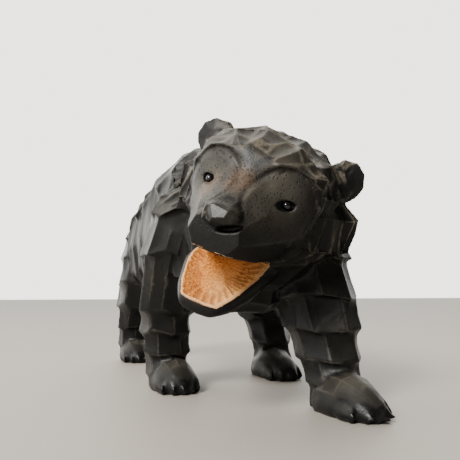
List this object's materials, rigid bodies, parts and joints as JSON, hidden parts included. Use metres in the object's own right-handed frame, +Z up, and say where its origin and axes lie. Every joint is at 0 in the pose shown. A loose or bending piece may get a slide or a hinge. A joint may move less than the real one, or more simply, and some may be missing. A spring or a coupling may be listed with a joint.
{
  "type": "carved wooden bear figure",
  "caption": "Small walking bear hand-carved from one block of black-stained wood, its head turned and its mouth open to the raw wood, with glass bead eyes.",
  "frame": {"origin": "on the surface it stands on, under the middle of its bounding box", "axes": "+Z up; the bear walks towards -Y and its left side is +X; its head is turned about 35 degrees to its right"},
  "size_m": [0.0948, 0.2224, 0.1156],
  "materials": {
    "stained_wood": "black stain with a dull wax sheen, worn lighter on the ridges; raw orange-brown wood inside the mouth",
    "eye_glass": "polished black glass"
  },
  "bodies": {
    "root": {"carved_bear": "stained_wood", "eye_left": "eye_glass", "eye_right": "eye_glass"}
  },
  "joints": []
}
